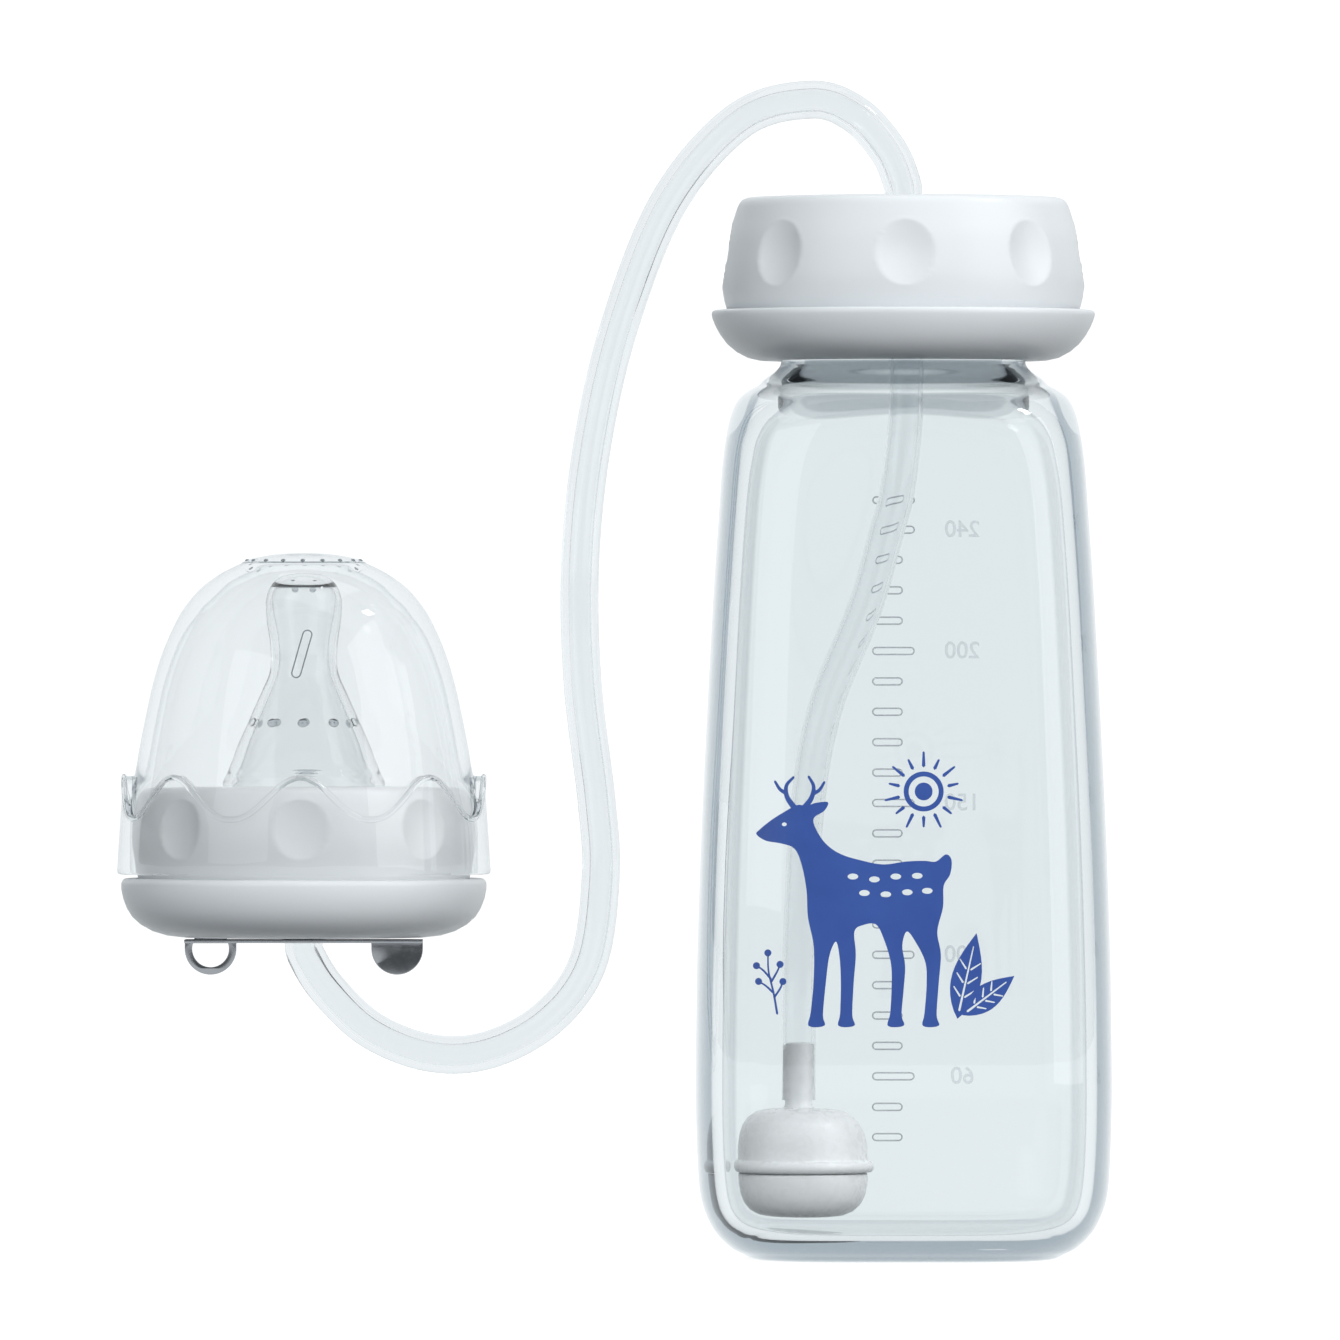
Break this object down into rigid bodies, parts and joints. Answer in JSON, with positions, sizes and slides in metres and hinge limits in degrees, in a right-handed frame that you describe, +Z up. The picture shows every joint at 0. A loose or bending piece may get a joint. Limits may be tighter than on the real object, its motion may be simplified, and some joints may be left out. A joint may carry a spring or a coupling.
{
  "type": "hands-free feeding bottle",
  "caption": "Rounded-square clear feeding bottle with a screw cap, a weighted straw inside and a soft hose to a covered teat on a saucer base.",
  "frame": {"origin": "centre of the bottle's flat base, on the surface it stands on", "axes": "+Z up along the bottle's axis, -Y towards the front of the bottle, +X to the right seen from the front; the teat unit is on the -X side"},
  "size_m": [0.1407, 0.0588, 0.1666],
  "materials": {
    "bottle_glass": "clear, polished",
    "white_plastic": "satin white",
    "clear_silicone": "clear, slightly cloudy",
    "white_silicone": "matt white",
    "steel": "polished"
  },
  "bodies": {
    "bottle": {"bottle_body": "bottle_glass"},
    "neck_saucer": {"cap_saucer": "white_plastic"},
    "lid": {"cap_disc": "white_plastic", "cap_gasket": "white_silicone", "cap_vent": "white_silicone"},
    "cap_ring": {"cap_collar": "white_plastic"},
    "straw_swivel": {"straw_socket": "white_silicone"},
    "straw_end": {"straw": "clear_silicone", "weight_upper": "white_plastic", "weight_lower": "white_plastic", "weight_ballast": "steel"},
    "hose": {"cap_fitting": "white_plastic", "outer_tube": "clear_silicone", "base_saucer": "white_plastic", "lug_plate": "steel", "base_fitting": "white_plastic", "valve_seat": "white_plastic", "valve_flap": "white_silicone"},
    "teat_head": {"teat": "clear_silicone"},
    "teat_ring": {"teat_collar": "white_plastic"},
    "teat_cover": {"cover": "clear_silicone"}
  },
  "joints": [
    {"name": "saucer_turn", "type": "hinge", "parent": "bottle", "child": "neck_saucer", "pos_m": [0, 0, 0.128], "axis": [0, 0, 1], "continuous": true},
    {"name": "lid_lift", "type": "slide", "parent": "bottle", "child": "lid", "axis": [0, 0, 1], "range_m": [0, 0.0078]},
    {"name": "cap_unscrew", "type": "hinge", "parent": "lid", "child": "cap_ring", "pos_m": [0, 0, 0.142], "axis": [0, 0, 1], "range_deg": [0, 541]},
    {"name": "straw_turn", "type": "hinge", "parent": "lid", "child": "straw_swivel", "pos_m": [0, 0, 0.14], "axis": [0, 0, 1], "continuous": true},
    {"name": "straw_swing", "type": "hinge", "parent": "straw_swivel", "child": "straw_end", "pos_m": [0.0003, 0, 0.1334], "axis": [0, -1, 0], "range_deg": [0, 13]},
    {"name": "hose_turn", "type": "hinge", "parent": "lid", "child": "hose", "pos_m": [0, 0, 0.149], "axis": [0, 0, 1], "continuous": true},
    {"name": "teat_lift", "type": "slide", "parent": "hose", "child": "teat_head", "axis": [0, 0, 1], "range_m": [0, 0.0065]},
    {"name": "ring_unscrew", "type": "hinge", "parent": "teat_head", "child": "teat_ring", "pos_m": [-0.0848, 0, 0.06], "axis": [0, 0, 1], "range_deg": [0, 451]},
    {"name": "cover_pull", "type": "slide", "parent": "teat_head", "child": "teat_cover", "axis": [0, 0, 1], "range_m": [0, 0.06]}
  ],
  "couplings": [
    {"joint": "cap_unscrew", "follows": "lid_lift", "rad_per_m": 1208.3},
    {"joint": "ring_unscrew", "follows": "teat_lift", "rad_per_m": 1208.3}
  ]
}
